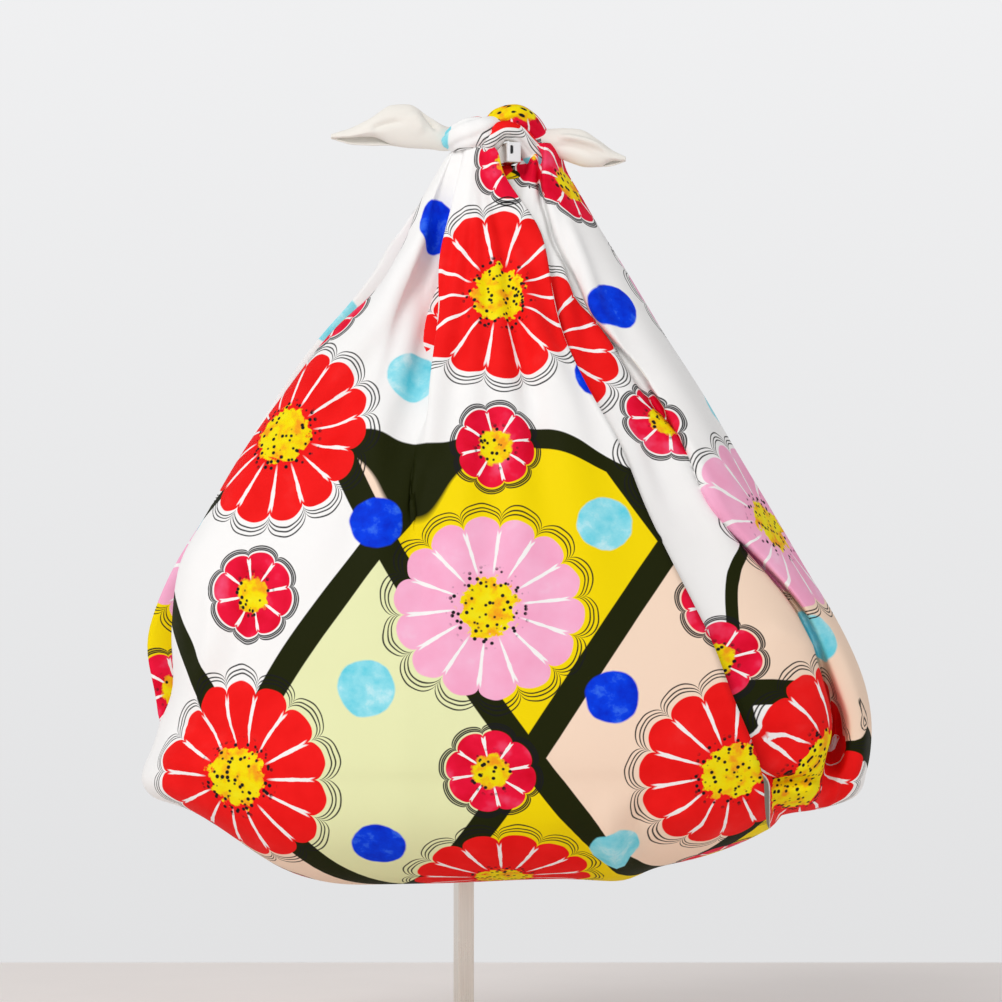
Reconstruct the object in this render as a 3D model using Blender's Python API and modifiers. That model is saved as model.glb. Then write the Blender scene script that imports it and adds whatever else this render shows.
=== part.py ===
"""A furoshiki tied as a drop bag, hung from the arm of a slim display stand.

The wrap is one square cloth.  Its front half rises to the knot as the front panel, and its
back half as the back panel, which also comes round the right side as the side panel.  The
three meet along the keel, the fold line under the bag.  A slit stays open at the left, and
another behind the front panel's right hem, so the bag is one hollow sheet.  Two wrung bands
make the knot over the arm, and the two corners stick out left and right of it.

Frame: metres, +Z up, the origin at the middle of the base plate's underside, the front at -Y.
"""

from collections import namedtuple
import math

import bmesh
import bpy
from mathutils import Matrix, Vector
import numpy as np

MM = 0.001

# Display stand.
BASE_SIDE = 280.0 * MM
BASE_THICK = 8.0 * MM
BASE_CORNER = 6.0 * MM
POST_WIDTH = 12.0 * MM
ARM_WIDTH = 10.0 * MM
BAR_TURN = math.radians(19.5)
BAR_EDGE = 0.8 * MM
ARM_HIGH = 14.0 * MM
ARM_UNDER = 626.0 * MM
ARM_REACH = 106.0 * MM
POST_PROUD = 4.0 * MM
CAP_THICK = 3.0 * MM
SLOT_WIDTH = 2.2 * MM
SLOT_HIGH = 6.0 * MM
SLOT_DEEP = 1.2 * MM
SEAT = 0.3 * MM

# Wrap.
CLOTH = 1.8 * MM
KEEL_DEPTH = -108.0
SLIT_END = 233.0
HEM_FOOT = 214.0
TUCK_DEPTH = -128.0

# One row for each level section of the bag, in millimetres, from the widest part up to the
# throat.  z is its height.  fold_l is the front panel's left edge and back_l the back panel's,
# hem the front panel's right hem, end_s the side panel's hidden end, crease the line where the
# side panel folds in, gap that fold's width, sink its depth, and right the right side.  front
# and back are the depths of the belly and the back, and y_fold, y_back and y_right the depths
# of the three side edges.
Level = namedtuple(
    "Level",
    "z fold_l back_l hem end_s crease gap sink right front back y_fold y_back y_right",
)
LEVELS = [
    Level(196, -225, -225, 205, 210, 246, 16, 12, 281, -206, -22, -99, -99, -109),
    Level(203, -223, -223, 203, 201, 247, 17, 27, 283, -209, -19, -98, -98, -109),
    Level(214, -218, -218, 200, 186, 250, 16, 46, 285, -211, -16, -98, -98, -109),
    Level(233, -212, -212, 192, 158, 255, 13, 44, 286, -212, -13, -97, -97, -109),
    Level(259, -201, -218, 181, 136, 249, 10, 30, 282, -210, -12, -110, -94, -108),
    Level(287, -204, -224, 171, 121, 240, 9, 22, 271, -206, -11, -114, -92, -107),
    Level(312, -203, -218, 159, 107, 229, 8, 18, 258, -201, -11, -115, -91, -105),
    Level(340, -199, -206, 145, 93, 205, 8, 15, 241, -195, -11, -115, -90, -103),
    Level(382, -176, -181, 125, 75, 167, 7, 12, 217, -184, -12, -114, -87, -100),
    Level(424, -152, -157, 109, 62, 149, 7, 11, 192, -171, -14, -112, -84, -97),
    Level(466, -124, -129, 86, 44, 123, 7, 10, 168, -157, -18, -108, -80, -93),
    Level(508, -93, -99, 68, 32, 93, 7, 9, 141, -142, -24, -102, -75, -89),
    Level(543, -56, -72, 61, 28, 72, 6, 8, 120, -130, -30, -95, -69, -85),
    Level(574, -40, -49, 56, 29, 60, 6, 7, 101, -119, -37, -88, -63, -81),
    Level(599, -30, -35, 40, 34, 53, 5, 5, 87, -111, -43, -82, -60, -78),
    Level(613, -23, 2, 31, 40, 51, 5, 4, 79, -108, -46, -78, -58, -76),
    Level(623, -17, 36, 27, 45, 52, 5, 3, 73, -106, -48, -75, -60, -75),
    Level(634, -11, 43, 25, 46, 53, 5, 2, 70, -104, -51, -72, -62, -74),
]

# The front panel's long pleat and the ridge left of it: its edge and the ridge by height, how
# far the pleat laps over the cloth under it, and how deep that cloth lies.
Pleat = namedtuple("Pleat", "z edge ridge lap deep")
PLEAT = [
    Pleat(196, -22, -60, 0, 0),
    Pleat(340, -22, -60, 0, 1),
    Pleat(382, -23, -56, 4, 3),
    Pleat(424, -22, -50, 11, 7),
    Pleat(466, -21, -44, 15, 10),
    Pleat(508, -19, -37, 17, 13),
    Pleat(543, -17, -27, 16, 14),
    Pleat(574, -12, -21, 7, 10),
    Pleat(599, -7, -17, 2, 6),
    Pleat(634, 2, -5, 0, 2),
]

# The keel's height along X, from the left tuck to the right one.
Keel = namedtuple("Keel", "x z")
KEEL = [
    Keel(-206, 179),
    Keel(-184, 173),
    Keel(-159, 158),
    Keel(-135, 140),
    Keel(-114, 128),
    Keel(-79, 121),
    Keel(-16, 122),
    Keel(70, 125),
    Keel(114, 123),
    Keel(128, 131),
    Keel(166, 140),
    Keel(214, 160),
    Keel(222, 169),
    Keel(250, 174),
    Keel(264, 179),
]

# Centre lines of the knot's bands: x, y, z, half width and half thickness at each station.
Band = namedtuple("Band", "x y z wide thick")
KNOT_ARCH = [
    Band(2, -88, 606, 9, 6),
    Band(5, -90, 620, 13, 11),
    Band(8, -90, 633, 13, 12),
    Band(17, -92, 644, 10, 10),
    Band(29, -91, 650, 10, 8.5),
    Band(43, -86, 647, 11, 9),
    Band(54, -79, 636, 12, 11),
    Band(58, -77, 622, 12, 11),
    Band(60, -76, 608, 8, 6),
]
KNOT_LEFT = [
    Band(-10, -80, 641, 6, 6),
    Band(-2, -86, 645, 9, 9),
    Band(8, -88, 650, 10, 10),
    Band(20, -80, 654, 9, 9),
    Band(30, -70, 652, 7, 7),
]
KNOT_RIGHT = [
    Band(24, -84, 655, 8, 8),
    Band(36, -86, 659, 10, 9.5),
    Band(47, -82, 655, 10, 10),
    Band(54, -76, 648, 9, 9),
    Band(57, -76, 640, 7, 7),
]

# The two loose corners: x, y, the middle height, half height and half thickness.
Corner = namedtuple("Corner", "x y z high thick")
LEFT_CORNER = [
    Corner(4, -80, 645, 7, 6),
    Corner(-10, -80, 645, 8, 6),
    Corner(-24, -82, 649, 11, 6),
    Corner(-38, -84, 653.5, 15, 6.5),
    Corner(-50, -85, 654, 14, 6),
    Corner(-66, -86, 649, 9, 5),
    Corner(-82, -86, 646, 4.5, 3),
    Corner(-93, -86, 646, 1.2, 1.2),
]
RIGHT_CORNER = [
    Corner(46, -77, 647, 7, 6),
    Corner(60, -79, 644, 8, 6),
    Corner(72, -82, 641, 11, 6),
    Corner(84, -84, 638, 12.5, 6),
    Corner(96, -85, 634, 9, 5),
    Corner(107, -86, 630.5, 4.5, 3.2),
    Corner(115, -86, 630, 1.2, 1.2),
]

# Where the front panel's points lie: shares of the way from its left edge to the ridge, and of
# the way from the pleat's edge to the hem, with the side each gather goes to.
FLANK_SHARES = (0.07, 0.24, 0.5, 0.78)
GATHER_SHARES = ((0.12, -0.6), (0.27, -1.0), (0.45, 0.2), (0.63, 0.8), (0.8, -0.6))

# Grid of the sheet: columns in each span of a panel, and rows between the levels.
FRONT_SPANS = (2, 1, 2, 2, 2, 2, 2, 1, 2, 2, 2, 2, 2, 2, 2)
SIDE_SPANS = (3, 2, 2, 1, 1, 1, 1, 2, 2)
BACK_TURN = 2
ARC_ROWS = 4

# The ring each panel's top edge is drawn in to, inside the knot: its middle and its radius.
Throat = namedtuple("Throat", "x y z radius")
FRONT_THROAT = Throat(9, -87, 641, 9.5)
BACK_THROAT = Throat(55, -79, 641, 9.5)
LEVEL_ROWS = (1, 1, 1, 1, 1, 1, 1, 2, 2, 2, 2, 2, 1, 1, 1, 1, 1, 1)


def clear_scene():
    """Remove what the start-up scene holds."""
    for thing in list(bpy.data.objects):
        bpy.data.objects.remove(thing, do_unlink=True)


def make_collection(name):
    """Return a new collection linked to the scene."""
    collection = bpy.data.collections.new(name)
    bpy.context.scene.collection.children.link(collection)
    return collection


def make_material(name, colour, roughness, metallic):
    """Return a Principled material."""
    material = bpy.data.materials.new(name)
    material.use_nodes = True
    shader = material.node_tree.nodes["Principled BSDF"]
    shader.inputs["Base Color"].default_value = (*colour, 1.0)
    shader.inputs["Roughness"].default_value = roughness
    shader.inputs["Metallic"].default_value = metallic
    return material


def mesh_object(name, build, collection, material=None):
    """Make an object whose mesh the function build fills, given a bmesh."""
    mesh = bpy.data.meshes.new(name)
    shape = bmesh.new()
    build(shape)
    shape.to_mesh(mesh)
    shape.free()
    if material is not None:
        mesh.materials.append(material)
    thing = bpy.data.objects.new(name, mesh)
    collection.objects.link(thing)
    return thing


def column(rows, name):
    """Return one named column of a table as an array."""
    return np.array([getattr(row, name) for row in rows], dtype=float)


def slopes(knots, values):
    """Give the slope at each knot that keeps the curve from overshooting its points."""
    steps = np.diff(knots)[:, None]
    rises = np.diff(values, axis=0) / steps
    inner = np.zeros_like(values)
    same = rises[:-1] * rises[1:] > 0
    low = np.where(same, rises[:-1], 1.0)
    high = np.where(same, rises[1:], 1.0)
    inner[1:-1] = np.where(same, 2.0 / (1.0 / low + 1.0 / high), 0.0)
    inner[0] = rises[0]
    inner[-1] = rises[-1]
    return inner


def smooth(knots, values, where):
    """Read a smooth curve through the values, one row for each knot, at the places given."""
    knots = np.asarray(knots, dtype=float)
    values = np.asarray(values, dtype=float).reshape(len(knots), -1)
    tangents = slopes(knots, values)
    spot = np.clip(np.searchsorted(knots, where, side="right") - 1, 0, len(knots) - 2)
    step = (knots[spot + 1] - knots[spot])[:, None]
    t = (np.asarray(where)[:, None] - knots[spot][:, None]) / step
    return (
        values[spot] * (1 + 2 * t) * (1 - t) ** 2
        + tangents[spot] * step * t * (1 - t) ** 2
        + values[spot + 1] * t**2 * (3 - 2 * t)
        + tangents[spot + 1] * step * t**2 * (t - 1)
    )


def along(points, spans):
    """Sample a smooth section through its points, with the given columns in each span."""
    chords = np.linalg.norm(np.diff(points, axis=0), axis=1)
    knots = np.concatenate([[0.0], np.cumsum(np.sqrt(chords + 0.01))])
    where = [
        np.linspace(knots[i], knots[i + 1], count, endpoint=False)
        for i, count in enumerate(spans)
    ]
    return smooth(knots, points, np.concatenate(where + [knots[-1:]]))


def belly(level, x):
    """Give the depth of the full front curve at x, round at both sides."""
    middle = (level.fold_l + level.right) / 2
    half = (level.right - level.fold_l) / 2
    reach = np.clip(np.abs((x - middle) / half), 0.0, 1.0)
    side = level.y_fold + (level.y_right - level.y_fold) * (x - level.fold_l) / (2 * half)
    return side + (level.front - side) * (1 - reach**2.3) ** (1 / 2.0)


def opened(level):
    """Say how far the left slit has opened, from 0 at its end to 1 well above it."""
    return min(max((level.z - SLIT_END) / 70.0, 0.0), 1.0)


def gather(level):
    """Give the depth of the small gathers that fan out from the knot."""
    drop = LEVELS[-1].z - level.z
    return 4.5 * math.exp(-drop / 90.0) * min(1.0, 0.3 + drop / 50.0)


def front_section(level):
    """List the front panel's points on one level, from its turned-in edge to its right hem."""
    edge, ridge, lap, deep = smooth(
        column(PLEAT, "z"),
        np.array([row[1:] for row in PLEAT]),
        np.array([float(level.z)]),
    )[0]
    turn = 26.0 * opened(level) * min(1.0, (634.0 - level.z) / 60.0 + 0.1)
    under = edge - 0.16 * (edge - ridge) + lap
    points = [
        (level.fold_l + turn, level.y_fold + 6.0 * opened(level)),
        (level.fold_l, level.y_fold),
    ]
    for share in FLANK_SHARES:
        x = level.fold_l + share * (ridge - level.fold_l)
        points.append((x, belly(level, x)))
    points += [
        (ridge, belly(level, ridge) + 0.4 * deep),
        (edge - 0.35 * (edge - ridge), belly(level, edge) + deep),
        (under, belly(level, edge) + 0.9 * deep),
        (edge, belly(level, edge)),
    ]
    for share, side in GATHER_SHARES:
        x = edge + share * (level.hem - edge)
        points.append((x, belly(level, x) + side * gather(level)))
    points.append((level.hem, belly(level, level.hem)))
    return np.array([(x, y, level.z) for x, y in points])


def side_section(level):
    """List the side panel's points on one level, from its hidden end round to the right side."""
    crease = level.crease
    reach = crease - level.end_s
    puff = 6.0 if level.z < 340 else 2.0
    lip = 14.0 if level.z < 300 else 1.0
    mouth = crease + level.gap
    outer = mouth + 0.5 * (level.right - mouth)
    inner = belly(level, crease) + 8.0
    points = [
        (level.end_s, belly(level, level.end_s) + 15.0),
        (level.end_s + 0.42 * reach, belly(level, level.end_s + 0.42 * reach) + 9.0),
        (level.end_s + 0.72 * reach, belly(level, level.end_s + 0.72 * reach) + 9.0 - puff),
        (crease, inner),
        (crease + 0.2 * level.gap, inner + 0.75 * level.sink),
        (crease + 0.5 * level.gap, inner + level.sink),
        (crease + 0.8 * level.gap, inner + 0.75 * level.sink),
        (mouth, belly(level, mouth) + lip),
        (outer, belly(level, outer) + 0.3 * lip),
        (level.right, level.y_right),
    ]
    return np.array([(x, y, level.z) for x, y in points])


def back_section(level):
    """List the back panel's points on one level, from the right side to its left edge."""
    width = level.right - level.back_l
    fold = gather(level)
    turn = 22.0 * opened(level) * min(1.0, (634.0 - level.z) / 60.0 + 0.02)
    bow = level.back - level.y_back
    bow_r = level.back - level.y_right
    points = [
        (level.right, level.y_right),
        (level.right - 0.09 * width, level.y_right + 0.62 * bow_r),
        (level.right - 0.28 * width, level.y_right + 0.93 * bow_r + fold),
        (level.right - 0.5 * width, level.back - fold),
        (level.right - 0.72 * width, level.y_back + 0.93 * bow + 0.6 * fold),
        (level.back_l + 0.09 * width, level.y_back + 0.62 * bow),
        (level.back_l, level.y_back),
        (level.back_l + turn, level.y_back - 3.0 * opened(level)),
    ]
    return np.array([(x, y, level.z) for x, y in points])


def throat(section, ring):
    """Draw a section's points straight in to the ring inside the knot."""
    away = section[:, :2] - np.array([ring.x, ring.y])
    away *= ring.radius / np.linalg.norm(away, axis=1)[:, None]
    return np.column_stack([ring.x + away[:, 0], ring.y + away[:, 1], np.full(len(away), ring.z)])


def rows_up(sections):
    """Carry the sampled sections smoothly upwards, with the given rows between levels."""
    shape = np.array(sections)
    knots = np.arange(len(shape), dtype=float)
    where = [
        np.linspace(i, i + 1, count, endpoint=False) for i, count in enumerate(LEVEL_ROWS)
    ]
    flat = smooth(knots, shape.reshape(len(shape), -1), np.concatenate(where + [knots[-1:]]))
    return flat.reshape(len(flat), shape.shape[1], 3)


def keel_line(shares, start, stop):
    """Give the keel's points between two places along X, at shares from 0 to 1."""
    x = start + (stop - start) * shares
    z = smooth(column(KEEL, "x"), column(KEEL, "z"), x)[:, 0]
    return np.stack([x, np.full_like(x, KEEL_DEPTH), z], axis=1)


def bowl(waist, keel):
    """Close a panel below its lowest level with quarter ellipses down to the keel."""
    angles = np.linspace(0.0, math.pi / 2, ARC_ROWS, endpoint=False)[:, None, None]
    level = waist[None] - keel[None]
    out = np.sin(angles)
    up = 1 - np.cos(angles)
    return keel[None] + level * np.concatenate([out, out, up], axis=2)


def front_panel():
    """Return the front panel's grid, rows from the keel up and columns from left to right."""
    sections = [along(front_section(level), FRONT_SPANS) for level in LEVELS]
    sections.append(throat(sections[-1], FRONT_THROAT))
    rows = rows_up(sections)
    waist = rows[0]
    left, right = LEVELS[0].fold_l, LEVELS[0].hem
    keel = keel_line((waist[:, 0] - left) / (right - left), KEEL[0].x, HEM_FOOT)
    return np.concatenate([bowl(waist, keel), rows])


def side_panel():
    """Return the side panel's grid, from its hidden end behind the hem to the right side."""
    sections = [along(side_section(level), SIDE_SPANS) for level in LEVELS]
    sections.append(throat(sections[-1], BACK_THROAT))
    rows = rows_up(sections)
    waist = rows[0].copy()
    count = len(waist)
    keel = keel_line(np.linspace(0.0, 1.0, count), HEM_FOOT, KEEL[-1].x)
    place = np.arange(count)
    under = np.clip((count - 1 - place) / 6.0, 0.0, 1.0) * np.clip(place / 4.0, 0.0, 1.0)
    rows[0, :, 1] += (np.maximum(waist[:, 1], TUCK_DEPTH) - waist[:, 1]) * under
    rows[0, :, 2] += 3.0 * under
    return np.concatenate([bowl(waist, keel), rows])


def spread(section, shares):
    """Sample a section from right to left at the given shares of its width and length."""
    fine = along(section, (12,) * (len(section) - 1))
    x = fine[:, 0]
    run = np.concatenate([[0.0], np.cumsum(np.linalg.norm(np.diff(fine, axis=0), axis=1))])
    measure = 0.65 * (x[0] - x) / (x[0] - x[-1]) + 0.35 * run / run[-1]
    return np.stack([np.interp(shares, measure, fine[:, i]) for i in range(3)], axis=1)


def back_panel(keel):
    """Return the back panel's grid on the given keel, from the right side to the left."""
    shares = (keel[0, 0] - keel[:, 0]) / (keel[0, 0] - keel[-1, 0])
    sections = []
    for level in LEVELS:
        points = back_section(level)
        main = spread(points[:-1], shares)
        ends = np.linspace(points[-2], points[-1], BACK_TURN + 1)[1:]
        sections.append(np.concatenate([main, ends]))
    sections.append(throat(sections[-1], BACK_THROAT))
    rows = rows_up(sections)
    keel = np.concatenate([keel, np.repeat(keel[-1:], BACK_TURN, axis=0)])
    return np.concatenate([bowl(rows[0], keel), rows])


def add_grid(shape, points):
    """Add a grid of points in millimetres to a bmesh, as quads."""
    rows, columns = points.shape[:2]
    verts = [
        [shape.verts.new(Vector(points[r, c]) * MM) for c in range(columns)]
        for r in range(rows)
    ]
    for r in range(rows - 1):
        for c in range(columns - 1):
            corners = (verts[r][c], verts[r][c + 1], verts[r + 1][c + 1], verts[r + 1][c])
            shape.faces.new(corners)


def build_sheet(shape):
    """Join the three panels along the keel, the right side and the left tuck."""
    front = front_panel()
    side = side_panel()
    keel = np.concatenate([front[0, FRONT_SPANS[0] :], side[0, 1:]])[::-1]
    back = back_panel(keel)
    for panel in (front, side, back):
        add_grid(shape, panel)
    bmesh.ops.remove_doubles(shape, verts=shape.verts, dist=0.05 * MM)
    bmesh.ops.recalc_face_normals(shape, faces=shape.faces)


def build_loft(shape, rings):
    """Skin closed rings of equal count in order, and close both ends."""
    loops = [[shape.verts.new(Vector(p) * MM) for p in ring] for ring in rings]
    count = len(loops[0])
    for low, high in zip(loops, loops[1:]):
        for i in range(count):
            j = (i + 1) % count
            shape.faces.new((low[i], low[j], high[j], high[i]))
    shape.faces.new(loops[0][::-1])
    shape.faces.new(loops[-1])
    bmesh.ops.recalc_face_normals(shape, faces=shape.faces)


def refined(stations, per_span=2):
    """Read a smooth curve through a table's stations, twice as finely."""
    table = np.array(stations, dtype=float)
    count = per_span * (len(table) - 1) + 1
    return smooth(np.arange(len(table)), table, np.linspace(0, len(table) - 1, count))


def band_rings(stations, sides=12):
    """Carry an ellipse along a band's stations, square to its path."""
    rows = refined(stations)
    path = rows[:, :3]
    heading = np.gradient(path, axis=0)
    heading /= np.linalg.norm(heading, axis=1)[:, None]
    across = np.cross(heading, np.array([0.0, 1.0, 0.0]))
    across /= np.linalg.norm(across, axis=1)[:, None]
    depth = np.cross(heading, across)
    angles = np.linspace(0.0, 2 * math.pi, sides, endpoint=False)[None, :, None]
    wide = rows[:, 3][:, None, None]
    thick = rows[:, 4][:, None, None]
    ring = thick * np.cos(angles) * across[:, None] + wide * np.sin(angles) * depth[:, None]
    return path[:, None] + ring


def corner_rings(stations, sides=12):
    """Carry an upright lens section along a loose corner of the cloth."""
    rows = refined(stations)
    angles = np.linspace(0.0, 2 * math.pi, sides, endpoint=False)
    swell = np.sin(angles) * np.abs(np.sin(angles)) ** 0.3
    x, y, z, high, thick = (rows[:, i][:, None] for i in range(5))
    return np.stack(
        [x + 0 * angles, y + thick * swell, z + high * np.cos(angles)],
        axis=2,
    )


def join(target, others):
    """Unite meshes with the target's, and keep them in the cutters' collection."""
    for other in others:
        other.hide_render = True
        other.display_type = "WIRE"
        union = target.modifiers.new(other.name, "BOOLEAN")
        union.operation = "UNION"
        union.solver = "MANIFOLD"
        union.object = other


def make_wrap(collection, cutters):
    """Make the wrap: its sheet, the knot's three bands and the two loose corners, in one."""
    cotton = make_material("printed_cotton", (0.9, 0.87, 0.82), 0.75, 0.0)
    wrap = mesh_object("wrap", build_sheet, collection, cotton)
    thick = wrap.modifiers.new("thickness", "SOLIDIFY")
    thick.thickness = CLOTH
    thick.offset = 0.0
    pieces = {
        "knot_arch": band_rings(KNOT_ARCH),
        "knot_left": band_rings(KNOT_LEFT),
        "knot_right": band_rings(KNOT_RIGHT),
        "corner_left": corner_rings(LEFT_CORNER),
        "corner_right": corner_rings(RIGHT_CORNER),
    }
    others = []
    for name, rings in pieces.items():
        others.append(mesh_object(name, lambda s, r=rings: build_loft(s, r), cutters, cotton))
    join(wrap, others)
    wrap.data.shade_smooth()
    return wrap


def bar(name, size, place, collection, material, edge=BAR_EDGE):
    """Make a bar with eased edges: a cube of the given size whose middle is at place."""
    turn = Matrix.Rotation(BAR_TURN, 4, "Z")

    def build(shape):
        bmesh.ops.create_cube(shape, size=1.0, matrix=Matrix.Diagonal((*size, 1.0)))

    thing = mesh_object(name, build, collection, material)
    thing.matrix_world = turn @ Matrix.Translation(place)
    if edge:
        bevel = thing.modifiers.new("edges", "BEVEL")
        bevel.width = edge
        bevel.segments = 2
    return thing


def make_stand(collection, cutters):
    """Make the stand: base plate, post, arm and the arm's end cap."""
    steel = make_material("brushed_steel", (0.62, 0.61, 0.6), 0.32, 1.0)
    white = make_material("white_plastic", (0.92, 0.92, 0.93), 0.4, 0.0)

    def plate(shape):
        size = Matrix.Diagonal((BASE_SIDE, BASE_SIDE, BASE_THICK, 1.0))
        lift = Matrix.Translation((0.0, 0.0, BASE_THICK / 2))
        bmesh.ops.create_cube(shape, size=1.0, matrix=lift @ size)
        upright = [e for e in shape.edges if abs(e.verts[0].co.z - e.verts[1].co.z) > SEAT]
        bmesh.ops.bevel(
            shape, geom=upright, offset=BASE_CORNER, segments=4, affect="EDGES", profile=0.5
        )

    mesh_object("base_plate", plate, collection, steel)
    top = ARM_UNDER + ARM_HIGH + POST_PROUD
    foot = BASE_THICK + SEAT
    bar(
        "post",
        (POST_WIDTH, POST_WIDTH, top - foot),
        (0.0, 0.0, (top + foot) / 2),
        collection,
        steel,
    )
    start = POST_WIDTH / 2 + SEAT
    middle = ARM_UNDER + ARM_HIGH / 2
    bar(
        "arm",
        (ARM_WIDTH, ARM_REACH - start, ARM_HIGH),
        (0.0, -(start + ARM_REACH) / 2, middle),
        collection,
        steel,
    )
    cap = bar(
        "arm_cap",
        (ARM_WIDTH, CAP_THICK, ARM_HIGH),
        (0.0, -ARM_REACH - SEAT - CAP_THICK / 2, middle),
        collection,
        white,
    )
    front = -ARM_REACH - SEAT - CAP_THICK
    slot = bar(
        "cap_slot",
        (SLOT_WIDTH, 2 * SLOT_DEEP, SLOT_HIGH),
        (-0.2 * ARM_WIDTH, front, middle + 0.12 * ARM_HIGH),
        cutters,
        white,
        edge=0.0,
    )
    slot.hide_render = True
    slot.display_type = "WIRE"
    cut = cap.modifiers.new("slot", "BOOLEAN")
    cut.operation = "DIFFERENCE"
    cut.solver = "EXACT"
    cut.object = slot


def main():
    """Build the wrap and its stand."""
    clear_scene()
    parts = make_collection("furoshiki_wrap_on_stand")
    cutters = make_collection("cutters")
    make_wrap(parts, cutters)
    make_stand(parts, cutters)


main()
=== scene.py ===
"""Looks for a furoshiki tied as a drop bag and hung from the arm of a slim display stand.

The cloth's panels are worked out row by row from the same named levels as the solid one, on a
finer grid, then softened, folded and printed.  Each finished piece is placed by its mesh alone.
"""

from collections import namedtuple
import math

import bmesh
import bpy
import numpy as np
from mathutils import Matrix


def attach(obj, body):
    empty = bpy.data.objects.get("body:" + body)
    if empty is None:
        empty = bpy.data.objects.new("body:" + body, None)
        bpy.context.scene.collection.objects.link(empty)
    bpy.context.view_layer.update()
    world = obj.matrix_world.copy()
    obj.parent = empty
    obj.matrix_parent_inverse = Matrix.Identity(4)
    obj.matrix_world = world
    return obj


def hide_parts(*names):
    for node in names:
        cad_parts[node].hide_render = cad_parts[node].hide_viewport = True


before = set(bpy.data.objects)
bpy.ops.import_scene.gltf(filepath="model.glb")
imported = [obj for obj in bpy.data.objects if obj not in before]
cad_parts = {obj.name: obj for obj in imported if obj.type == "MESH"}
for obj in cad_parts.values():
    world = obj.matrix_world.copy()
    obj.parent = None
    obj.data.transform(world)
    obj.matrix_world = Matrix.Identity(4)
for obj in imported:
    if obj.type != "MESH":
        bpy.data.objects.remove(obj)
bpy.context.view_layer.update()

bl_info = {
    "name": "Furoshiki wrap looks",
    "version": (1, 0, 0),
    "blender": (4, 5, 0),
    "location": "3D View > Sidebar > Furoshiki",
    "description": "Dresses a hanging furoshiki wrap and its stand",
    "category": "Object",
}

MM = 0.001
WELD_STEP = 0.05 * MM

# The wrap's level sections, in millimetres: z, the edges and lines along X, and their depths.
Level = namedtuple(
    "Level",
    "z fold_l back_l hem end_s crease gap sink right front back y_fold y_back y_right",
)
LEVELS = [
    Level(196, -225, -225, 205, 210, 246, 16, 12, 281, -206, -22, -99, -99, -109),
    Level(203, -223, -223, 203, 201, 247, 17, 27, 283, -209, -19, -98, -98, -109),
    Level(214, -218, -218, 200, 186, 250, 16, 46, 285, -211, -16, -98, -98, -109),
    Level(233, -212, -212, 192, 158, 255, 13, 44, 286, -212, -13, -97, -97, -109),
    Level(259, -201, -218, 181, 136, 249, 10, 30, 282, -210, -12, -110, -94, -108),
    Level(287, -204, -224, 171, 121, 240, 9, 22, 271, -206, -11, -114, -92, -107),
    Level(312, -203, -218, 159, 107, 229, 8, 18, 258, -201, -11, -115, -91, -105),
    Level(340, -199, -206, 145, 93, 205, 8, 15, 241, -195, -11, -115, -90, -103),
    Level(382, -176, -181, 125, 75, 167, 7, 12, 217, -184, -12, -114, -87, -100),
    Level(424, -152, -157, 109, 62, 149, 7, 11, 192, -171, -14, -112, -84, -97),
    Level(466, -124, -129, 86, 44, 123, 7, 10, 168, -157, -18, -108, -80, -93),
    Level(508, -93, -99, 68, 32, 93, 7, 9, 141, -142, -24, -102, -75, -89),
    Level(543, -56, -72, 61, 28, 72, 6, 8, 120, -130, -30, -95, -69, -85),
    Level(574, -40, -49, 56, 29, 60, 6, 7, 101, -119, -37, -88, -63, -81),
    Level(599, -30, -35, 40, 34, 53, 5, 5, 87, -111, -43, -82, -60, -78),
    Level(613, -23, 2, 31, 40, 51, 5, 4, 79, -108, -46, -78, -58, -76),
    Level(623, -17, 36, 27, 45, 52, 5, 3, 73, -106, -48, -75, -60, -75),
    Level(634, -11, 43, 25, 46, 53, 5, 2, 70, -104, -51, -72, -62, -74),
]
Pleat = namedtuple("Pleat", "z edge ridge lap deep")
PLEAT = [
    Pleat(*row)
    for row in (
        (196, -22, -60, 0, 0), (340, -22, -60, 0, 1), (382, -23, -56, -8, 5),
        (424, -22, -50, -4, 9), (466, -21, -44, 14, 19), (508, -19, -37, 17, 25),
        (543, -17, -31, 16, 26), (574, -12, -25, 9, 22), (599, -7, -19, 4, 15),
        (634, 2, -7, 0, 5),
    )
]
Keel = namedtuple("Keel", "x z")
KEEL = [
    Keel(*row)
    for row in (
        (-206, 179), (-184, 173), (-159, 158), (-135, 140), (-114, 128),
        (-79, 121), (-16, 122), (70, 125), (114, 123), (128, 131),
        (166, 140), (214, 160), (222, 169), (250, 174), (264, 179),
    )
]
KEEL_DEPTH = -108.0
SLIT_END = 233.0
HEM_FOOT = 214.0
TUCK_DEPTH = -128.0
Throat = namedtuple("Throat", "x y z radius")
FRONT_THROAT = Throat(9, -87, 641, 9.5)
BACK_THROAT = Throat(55, -79, 641, 9.5)

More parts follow.
